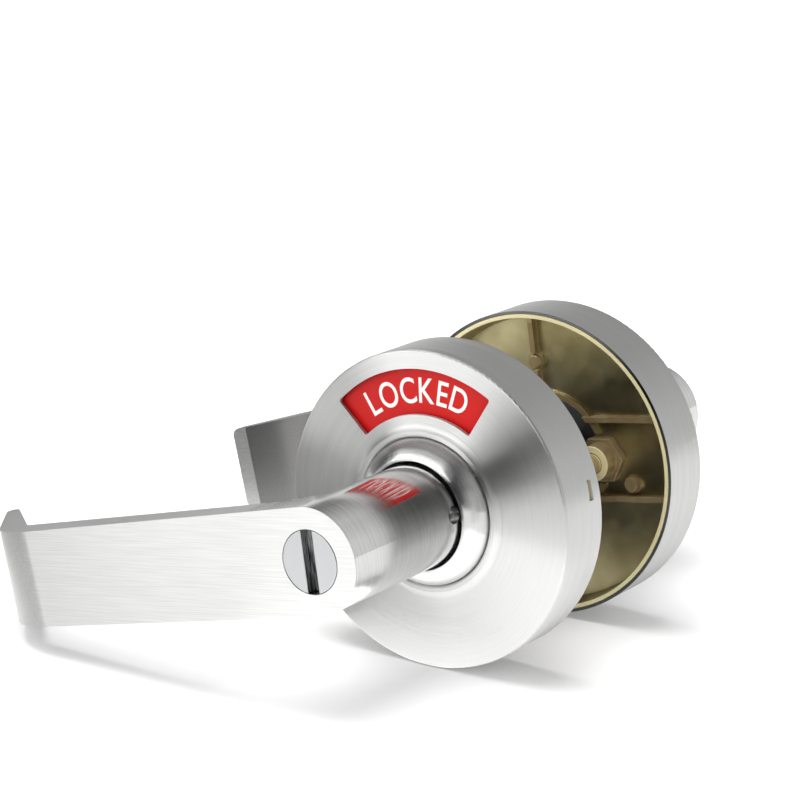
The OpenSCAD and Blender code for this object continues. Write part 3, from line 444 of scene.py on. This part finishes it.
def slotted_satin_chrome(tree, shader):
    """Satin chrome on the emergency plug: a plain face, and a milled slot whose floor is darker."""
    colours = bpy.context.scene.lock_colours
    place = add(tree, "ShaderNodeTexCoord").outputs["Object"]
    depth = add(tree, "ShaderNodeSeparateXYZ", {0: place}).outputs["Y"]
    sunk = add(tree, "ShaderNodeMapRange", {"Value": depth, "From Min": PLUG_FACE + DARKENING_START,
                                            "From Max": PLUG_FACE + DARKENING_COMPLETE}).outputs["Result"]
    # Milling marks in the slot are 0.4 mm apart and 6 mm long
    stretch = add(tree, "ShaderNodeMapping", {"Vector": place, "Scale": (
        1 / MILL_SPACING, 1 / MILL_SPACING, 1 / MILL_RUN)}).outputs["Vector"]
    marks = add(tree, "ShaderNodeTexNoise", {"Vector": stretch, "Scale": 1.0, "Detail": 3.0}).outputs["Fac"]
    slot_floor_tone = add(tree, "ShaderNodeValToRGB", {"Fac": marks})
    for stop, position, colour in zip(slot_floor_tone.color_ramp.elements, SLOT_FLOOR_RAMP, (colours.dark_slot_floor, colours.steel)):
        stop.position = position
        stop.color = colour
    tone = add(tree, "ShaderNodeMix", {"Factor": sunk, "A": colours.steel, "B": slot_floor_tone.outputs["Color"]},
               data_type="RGBA")
    face, slot = PLUG_ROUGHNESS
    rough = add(tree, "ShaderNodeMix", {"Factor": sunk, "A": face, "B": slot})
    bump = add(tree, "ShaderNodeBump", {"Height": marks, "Strength": sunk, "Distance": MILL_DEPTH})
    feed(tree, shader, {"Base Color": tone.outputs["Result"], "Metallic": 1.0, "Roughness": rough.outputs["Result"],
                        "Normal": bump.outputs["Normal"]})


def turned_metal(tree, shader, colour, roughness, spacing):
    """Turned or drawn metal: faint rings along the lock's axis and small changes of gloss."""
    place = add(tree, "ShaderNodeTexCoord").outputs["Object"]
    # Marks 0.4 to 0.6 mm apart, which is the tool's feed, drawn eight times as long
    run = TURNED_RUN * spacing
    stretch = add(tree, "ShaderNodeMapping", {"Vector": place, "Scale": (1 / run, 1 / spacing, 1 / run)})
    marks = add(tree, "ShaderNodeTexNoise", {"Vector": stretch.outputs["Vector"], "Scale": 1.0,
                                             "Detail": 3.0}).outputs["Fac"]
    low, high = roughness
    rough = add(tree, "ShaderNodeMapRange", {"Value": marks, "From Min": NOISE_LOW, "From Max": NOISE_HIGH,
                                             "To Min": low, "To Max": high})
    bump = add(tree, "ShaderNodeBump", {"Height": marks, "Strength": TURNED_STRENGTH, "Distance": TURNED_DEPTH})
    feed(tree, shader, {"Base Color": colour, "Metallic": 1.0, "Roughness": rough.outputs["Result"],
                        "Normal": bump.outputs["Normal"]})


def passivated_zinc_plate(tree, shader):
    """Yellow-passivated zinc plate on pressed steel: soft olive clouds, browner where it stands up, and pale edges that
    are painted highlights."""
    colours = bpy.context.scene.lock_colours
    place, _, out, radius, unit = places(tree)
    # Clouds of the passivate are about 16 mm across, stains about 6 mm and the pressing's grain 0.6 mm
    clouds = add(tree, "ShaderNodeTexNoise", {"Vector": place, "Scale": 1 / CLOUD_WIDTH, "Detail": 2.0,
                                              "Distortion": 0.4}).outputs["Fac"]
    stains = add(tree, "ShaderNodeTexNoise", {"Vector": place, "Scale": 1 / STAIN_WIDTH, "Detail": 2.0}).outputs["Fac"]
    grain = add(tree, "ShaderNodeTexNoise", {"Vector": place, "Scale": 1 / GRAIN_WIDTH, "Detail": 2.0}).outputs["Fac"]
    tint = add(tree, "ShaderNodeValToRGB", {"Fac": clouds})
    shades = (colours.passivate_dark, colours.passivate_light)
    for stop, position, colour in zip(tint.color_ramp.elements, CLOUD_RAMP, shades):
        stop.position = position
        stop.color = colour
    # Ribs, pads and posts stand up towards the door, inside the plate's wall, and are browner and duller
    stained = add(tree, "ShaderNodeMapRange", {"Value": stains, "From Min": STAIN_RAMP[0], "From Max": STAIN_RAMP[1],
                                               "To Max": STAIN_SHARE}).outputs["Result"]
    high = add(tree, "ShaderNodeMath", {0: out, 1: DOOR_MIDDLE + RIB_LEVEL}, operation="LESS_THAN").outputs["Value"]
    inward = add(tree, "ShaderNodeMath", {0: radius, 1: RIB_REACH}, operation="LESS_THAN").outputs["Value"]
    raised = add(tree, "ShaderNodeMath", {0: high, 1: inward}, operation="MULTIPLY").outputs["Value"]
    browned = add(tree, "ShaderNodeMath", {0: raised, 1: BROWNED_SHARE, 2: stained}, operation="MULTIPLY_ADD")
    brown = add(tree, "ShaderNodeMix", {"Factor": browned.outputs["Value"], "A": tint.outputs["Color"],
                                        "B": colours.passivate_stain}, data_type="RGBA", clamp_factor=True)
    # The edge at the door and the outer side of the wall are painted pale and hardly metallic, as painted highlights
    door_end = add(tree, "ShaderNodeMath", {0: out, 1: DOOR_MIDDLE, 2: HIGHLIGHT_BAND}, operation="COMPARE").outputs["Value"]
    normal = add(tree, "ShaderNodeTexCoord").outputs["Normal"]
    facing = add(tree, "ShaderNodeVectorMath", {0: unit, 1: normal}, operation="DOT_PRODUCT").outputs["Value"]
    outward = add(tree, "ShaderNodeMath", {0: facing, 1: OUTWARD}, operation="GREATER_THAN").outputs["Value"]
    wall = add(tree, "ShaderNodeMath", {0: radius, 1: RIB_REACH}, operation="GREATER_THAN").outputs["Value"]
    outer_wall = add(tree, "ShaderNodeMath", {0: outward, 1: wall}, operation="MULTIPLY").outputs["Value"]
    edge = add(tree, "ShaderNodeMath", {0: door_end, 1: outer_wall}, operation="MAXIMUM").outputs["Value"]
    tone = add(tree, "ShaderNodeMix", {"Factor": edge, "A": brown.outputs["Result"], "B": colours.passivate_edge_highlight},
               data_type="RGBA")
    matt = add(tree, "ShaderNodeMath", {0: raised, 1: BROWNED_SHARE, 2: edge}, operation="MULTIPLY_ADD")
    metallic = add(tree, "ShaderNodeMapRange", {"Value": matt.outputs["Value"], "To Min": PLATE_METAL[0],
                                                "To Max": PLATE_METAL[1]})
    roughness = add(tree, "ShaderNodeMapRange", {"Value": stains, "From Min": NOISE_LOW, "From Max": NOISE_HIGH,
                                                 "To Min": PLATE_ROUGHNESS[0], "To Max": PLATE_ROUGHNESS[1]})
    bump = add(tree, "ShaderNodeBump", {"Height": grain, "Strength": GRAIN_STRENGTH, "Distance": GRAIN_DEPTH})
    feed(tree, shader, {"Base Color": tone.outputs["Result"], "Metallic": metallic.outputs["Result"],
                        "Roughness": roughness.outputs["Result"], "Normal": bump.outputs["Normal"]})


def enamel(tree, shader, colour, roughness):
    """Stoved enamel or screen ink: even colour, a soft gloss and a faint orange peel."""
    place = add(tree, "ShaderNodeTexCoord").outputs["Object"]
    # The peel's dimples are 0.8 mm across
    peel = add(tree, "ShaderNodeTexNoise", {"Vector": place, "Scale": 1 / PEEL_WIDTH, "Detail": 2.0}).outputs["Fac"]
    shade = add(tree, "ShaderNodeMapRange", {"Value": peel, "To Min": PEEL_TONE[0], "To Max": PEEL_TONE[1]})
    tone = add(tree, "ShaderNodeHueSaturation", {"Color": colour, "Value": shade.outputs["Result"]}).outputs["Color"]
    bump = add(tree, "ShaderNodeBump", {"Height": peel, "Strength": PEEL_STRENGTH, "Distance": PEEL_DEPTH})
    feed(tree, shader, {"Base Color": tone, "Roughness": roughness, "Specular IOR Level": ENAMEL_SPECULAR,
                        "Normal": bump.outputs["Normal"]})


def studio_board(tree, shader, colour, roughness, specular, glow):
    """Matt studio board, lit from behind: an even tone with hardly a highlight."""
    feed(tree, shader, {"Base Color": colour, "Roughness": roughness, "Specular IOR Level": specular,
                        "Emission Color": bpy.context.scene.lock_colours.studio_light, "Emission Strength": glow})


def works_finish(slot):
    """The finish of the inner works in a material slot."""
    name, colour, roughness, spacing = WORKS[slot]
    return material_of(name, turned_metal, getattr(bpy.context.scene.lock_colours, colour), roughness, spacing)


def turned_chrome():
    """The finish of the collars and the push button, which are turned before they are plated."""
    return material_of("satin_chrome_collar", spun_satin_chrome, bpy.context.scene.lock_finish.turned)


def mesh_object(name, bm, material):
    """Makes an object of a bmesh."""
    mesh = bpy.data.meshes.new(name)
    bm.to_mesh(mesh)
    bm.free()
    mesh.materials.append(material)
    made = bpy.data.objects.new(name, mesh)
    bpy.context.scene.collection.objects.link(made)
    return made


def merged_copy(node):
    """A bmesh of a solid with its seams closed, smooth where it is round."""
    bm = bmesh.new()
    bm.from_mesh(frame["nodes"][node].data)
    bmesh.ops.remove_doubles(bm, verts=bm.verts[:], dist=MERGE_DISTANCE)
    bmesh.ops.dissolve_limit(bm, angle_limit=FLAT_ANGLE, verts=bm.verts[:], edges=bm.edges[:])
    for face in bm.faces:
        face.smooth = True
    for edge in bm.edges:
        edge.smooth = edge.is_manifold and edge.calc_face_angle() < SHARP_ANGLE
    return bm


def dress(node, material, width, body):
    """Stands a merged copy of a solid in its place, with its sharp edges broken."""
    piece = mesh_object(node + "_finished", merged_copy(node), material)
    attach(piece, body)
    broken = piece.modifiers.new("broken_edges", "BEVEL")
    broken.width = width
    broken.segments = 2
    broken.limit_method = "ANGLE"
    broken.angle_limit = SHARP_ANGLE
    broken.harden_normals = True
    faces = piece.modifiers.new("flat_faces", "WEIGHTED_NORMAL")
    faces.keep_sharp = True
    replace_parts(piece, node)


def bend_spring(side, material):
    """Stands a strip spring in a catch spring's place, with its ends in the hub."""
    node = side + "_catch_spring"
    low, high = (Vector(corner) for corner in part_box(node))
    middle = (low + high) / 2
    reach = (high.z - low.z) / 2
    centre = Vector((high.x - reach, middle.y, middle.z))
    bm = merged_copy(node)
    # The wire is rolled flat, against its outer side, so that its crown clears the shaft when the catch is pressed
    for vert in bm.verts:
        out = Vector((vert.co.x - centre.x, 0, vert.co.z - centre.z))
        vert.co += out.normalized() * (reach - out.length) * (1 - STRIP_SHARE)
    piece = mesh_object(node + "_bent", bm, material)
    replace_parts(piece, node)
    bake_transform(piece)


def finish_solid(node, material):
    """Gives a solid that stays its finish."""
    mesh = frame["nodes"][node].data
    mesh.materials.clear()
    mesh.materials.append(material)


def letter_mesh(letter):
    """A letter's mesh, standing on the origin and centred over it, with the letter's width."""
    sizes = bpy.context.scene.lock_sizes
    curve = bpy.data.curves.new("letter", "FONT")
    curve.body = letter
    curve.size = sizes.letter_height / CAPITAL_SHARE
    curve.extrude = sizes.letter_ink
    curve.offset = sizes.letter_weight
    text = bpy.data.objects.new("letter", curve)
    bpy.context.scene.collection.objects.link(text)
    mesh = bpy.data.meshes.new_from_object(text.evaluated_get(bpy.context.evaluated_depsgraph_get()))
    bpy.data.objects.remove(text)
    bpy.data.curves.remove(curve)
    mesh.transform(Matrix.Diagonal((LETTER_SQUEEZE, 1, 1, 1)))
    left = min(v.co.x for v in mesh.vertices)
    right = max(v.co.x for v in mesh.vertices)
    mesh.transform(Matrix.Translation((-(left + right) / 2, 0, 0)))
    return mesh, right - left


def word_on_arc(name, word, middle, material):
    """Sets a word's letters along an arc round the lock's axis, about an angle from the top."""
    sizes = bpy.context.scene.lock_sizes
    letters = [letter_mesh(letter) for letter in word]
    done = -(sum(width for _, width in letters) + sizes.letter_gap * (len(word) - 1)) / 2
    bm = bmesh.new()
    for mesh, width in letters:
        angle = middle - (done + width / 2) / (sizes.letter_radius + sizes.letter_height / 2)
        mesh.transform(Matrix.Translation((0, sizes.letter_radius, PANEL_TOP + sizes.letter_ink)))
        mesh.transform(Matrix.Rotation(angle, 4, "Z"))
        mesh.transform(Matrix.Rotation(math.radians(90), 4, "X"))
        bm.from_mesh(mesh)
        bpy.data.meshes.remove(mesh)
        done += width + sizes.letter_gap
    bmesh.ops.remove_doubles(bm, verts=bm.verts[:], dist=MERGE_DISTANCE)
    piece = mesh_object(name, bm, material)
    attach(piece, "indicator")


def studio_sheet(name, size, stand, material):
    """Stands a flat sheet in the studio, which isn't part of the object."""
    bm = bmesh.new()
    bmesh.ops.create_grid(bm, x_segments=1, y_segments=1, size=0.5)
    bmesh.ops.scale(bm, vec=(*size, 1), verts=bm.verts)
    bmesh.ops.transform(bm, matrix=stand, verts=bm.verts)
    sheet = mesh_object(name, bm, material)
    return sheet


def studio_table():
    """Lays the pale table that the set lies on, under its slope."""
    paint = material_of("studio_table", studio_board, bpy.context.scene.lock_colours.table, TABLE_ROUGHNESS,
                        TABLE_SPECULAR, TABLE_GLOW)
    tilt = Matrix.Rotation(TABLE_TILT, 4, "Y") @ Matrix.Translation((0, 0, -TABLE_DROP))
    studio_sheet("table", TABLE_SIZE, tilt, paint)


def studio_cards():
    """Stands the cards that only reflections see, as a photographer's flags and reflectors do."""
    for name, size, place, turn, glow in CARDS:
        paint = material_of(name + "_card", studio_board, bpy.context.scene.lock_colours.card, CARD_ROUGHNESS,
                            CARD_SPECULAR, glow)
        card = studio_sheet(name, size, Matrix.Translation(place) @ Euler(turn).to_matrix().to_4x4(), paint)
        card.visible_camera = False
        card.visible_diffuse = False
        card.visible_shadow = False


def studio_lamps():
    """Hangs the lamps."""
    for name, kind, place, reflected, settings in LAMPS:
        light = bpy.data.lights.new(name, kind)
        for setting, value in settings.items():
            setattr(light, setting, value)
        lamp = bpy.data.objects.new(name, light)
        lamp.location = place
        lamp.rotation_euler = (-Vector(place)).to_track_quat("-Z", "Y").to_euler()
        lamp.visible_glossy = reflected
        lamp.visible_diffuse = not reflected
        bpy.context.scene.collection.objects.link(lamp)


def studio_world():
    """Puts up the surroundings, which are dark on the camera's side. Behind the object a low white sweep stands before
    grey walls, which are paler on the right."""
    world = bpy.data.worlds.new("studio")
    world.use_nodes = True
    sky = world.node_tree
    split = add(sky, "ShaderNodeSeparateXYZ", {0: add(sky, "ShaderNodeTexCoord").outputs["Generated"]}).outputs
    tones = {}
    for name, (axis, start, end, first, last) in SURROUNDINGS.items():
        tones[name] = add(sky, "ShaderNodeMapRange", {"Value": split[axis], "From Min": start, "From Max": end,
                                                      "To Min": first, "To Max": last}).outputs["Result"]
    sweep = add(sky, "ShaderNodeMath", {0: tones["low"], 1: tones["left"]}, operation="MULTIPLY").outputs["Value"]
    upper = add(sky, "ShaderNodeMath", {0: tones["walls"], 1: tones["height"]}, operation="MULTIPLY").outputs["Value"]
    back = add(sky, "ShaderNodeMath", {0: upper, 1: sweep}, operation="MAXIMUM").outputs["Value"]
    around = add(sky, "ShaderNodeMix", {"Factor": tones["behind"], "A": tones["front"], "B": back}).outputs["Result"]
    shade = add(sky, "ShaderNodeMix", {"Factor": tones["above"], "A": around, "B": CEILING_BRIGHTNESS})
    # The backdrop itself is plain white
    seen = add(sky, "ShaderNodeLightPath").outputs["Is Camera Ray"]
    plain = add(sky, "ShaderNodeMix", {"Factor": seen, "A": shade.outputs["Result"], "B": 1.0}).outputs["Result"]
    feed(sky, sky.nodes["Background"], {"Color": plain})
    bpy.context.scene.world = world
    bpy.context.scene.view_settings.view_transform = "Standard"


def studio_camera():
    """Stands the camera where the photograph was taken from."""
    lens = bpy.data.cameras.new("camera")
    lens.lens = CAMERA_LENS
    camera = bpy.data.objects.new("camera", lens)
    right, up = Vector(CAMERA_RIGHT), Vector(CAMERA_UP)
    turn = Matrix((right, up, right.cross(up))).transposed()
    camera.matrix_world = Matrix.Translation(CAMERA_PLACE) @ turn.to_4x4()
    bpy.context.scene.collection.objects.link(camera)
    bpy.context.scene.camera = camera


class LOCKSET_OT_stage(bpy.types.Operator):
    """Sets the table, the lights and the camera"""

    bl_idname = "lockset.stage"
    bl_label = "Stage"

    def execute(self, context):
        studio_table()
        studio_cards()
        studio_lamps()
        studio_world()
        studio_camera()
        return {"FINISHED"}


class LOCKSET_OT_roses(bpy.types.Operator):
    """Builds the roses and the collars"""

    bl_idname = "lockset.roses"
    bl_label = "Roses and collars"

    def execute(self, context):
        edge = context.scene.lock_sizes.sheet_edge
        spun = material_of("satin_chrome_spun", spun_satin_chrome, context.scene.lock_finish.spun)
        for side in SIDES:
            dress(side + "_rose", spun, edge, "roses")
            dress(side + "_collar", turned_chrome(), edge, "roses")
        return {"FINISHED"}


class LOCKSET_OT_levers(bpy.types.Operator):
    """Builds the levers"""

    bl_idname = "lockset.levers"
    bl_label = "Levers"

    def execute(self, context):
        chrome = material_of("satin_chrome_brushed", brushed_satin_chrome)
        for side in SIDES:
            dress(side + "_lever", chrome, context.scene.lock_sizes.plated_edge, side + "_lever")
        return {"FINISHED"}


class LOCKSET_OT_controls(bpy.types.Operator):
    """Builds the emergency plug, the push button and the lever catches"""

    bl_idname = "lockset.controls"
    bl_label = "Plug, button and catches"

    def execute(self, context):
        edge = context.scene.lock_sizes.turned_edge
        slotted = material_of("satin_chrome_slotted", slotted_satin_chrome)
        dress("emergency_plug", slotted, edge, "indicator")
        dress("push_button", turned_chrome(), edge, "button")
        for side in SIDES:
            dress(side + "_catch", works_finish("bright_steel"), edge, side + "_catch")
        return {"FINISHED"}


class LOCKSET_OT_indicator(bpy.types.Operator):
    """Builds the status panels and their words"""

    bl_idname = "lockset.indicator"
    bl_label = "Status panels"

    def execute(self, context):
        colours = context.scene.lock_colours
        finish_solid("red_panel", material_of("red_enamel", enamel, colours.red, ENAMEL_ROUGHNESS))
        finish_solid("green_panel", material_of("green_enamel", enamel, colours.green, ENAMEL_ROUGHNESS))
        ink = material_of("white_screen_ink", enamel, colours.lettering, INK_ROUGHNESS)
        word_on_arc("locked_word", "LOCKED", 0.0, ink)
        word_on_arc("open_word", "OPEN", math.radians(-90), ink)
        return {"FINISHED"}


class LOCKSET_OT_plates(bpy.types.Operator):
    """Builds the base plates with their rivets, posts, studs and bolts"""

    bl_idname = "lockset.plates"
    bl_label = "Base plates and fixings"

    def execute(self, context):
        passivate = material_of("passivated_zinc_plate", passivated_zinc_plate)
        edge = context.scene.lock_sizes.sheet_edge
        for node in ("outside_base_plate", "inside_base_plate", "outside_rivets", "inside_rivets", "threaded_studs",
                     "mounting_posts", "through_bolts"):
            dress(node, passivate, edge, "roses")
        return {"FINISHED"}


class LOCKSET_OT_works(bpy.types.Operator):
    """Finishes the inner works: hubs, spindles, housings, springs, ring, shaft and rod"""

    bl_idname = "lockset.works"
    bl_label = "Inner works"

    def execute(self, context):
        for side in SIDES:
            bend_spring(side, works_finish("spring_steel"))
        replaced = {o["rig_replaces"][0] for o in bpy.data.objects if "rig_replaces" in o}
        for row in frame["record"]["subparts"]:
            if row["node"] not in replaced and row["material_slot"] in WORKS:
                finish_solid(row["node"], works_finish(row["material_slot"]))
        return {"FINISHED"}


class LOCKSET_PT_panel(bpy.types.Panel):
    """Lists the lock set's sizes, colours and pieces"""

    bl_idname = "LOCKSET_PT_panel"
    bl_label = "Lock set"
    bl_space_type = "VIEW_3D"
    bl_region_type = "UI"
    bl_category = "Lock set"

    def draw(self, context):
        layout = self.layout
        for group in (context.scene.lock_sizes, context.scene.lock_finish, context.scene.lock_colours):
            box = layout.box()
            for name in group.__annotations__:
                box.prop(group, name)
        for operator in OPERATORS:
            layout.operator(operator.bl_idname)


OPERATORS = (LOCKSET_OT_stage, LOCKSET_OT_roses, LOCKSET_OT_levers, LOCKSET_OT_controls, LOCKSET_OT_indicator,
             LOCKSET_OT_plates, LOCKSET_OT_works)
CLASSES = (LockSizes, LockFinish, LockColours, *OPERATORS, LOCKSET_PT_panel)


def register():
    """Registers the classes and the scene's settings."""
    for entry in CLASSES:
        bpy.utils.register_class(entry)
    bpy.types.Scene.lock_sizes = PointerProperty(type=LockSizes)
    bpy.types.Scene.lock_finish = PointerProperty(type=LockFinish)
    bpy.types.Scene.lock_colours = PointerProperty(type=LockColours)


def unregister():
    """Removes the scene's settings and the classes."""
    del bpy.types.Scene.lock_colours
    del bpy.types.Scene.lock_finish
    del bpy.types.Scene.lock_sizes
    for entry in reversed(CLASSES):
        bpy.utils.unregister_class(entry)


def main():
    """Builds everything."""
    register()
    for operator in OPERATORS:
        group, name = operator.bl_idname.split(".")
        getattr(getattr(bpy.ops, group), name)()


if __name__ == "__main__":
    main()
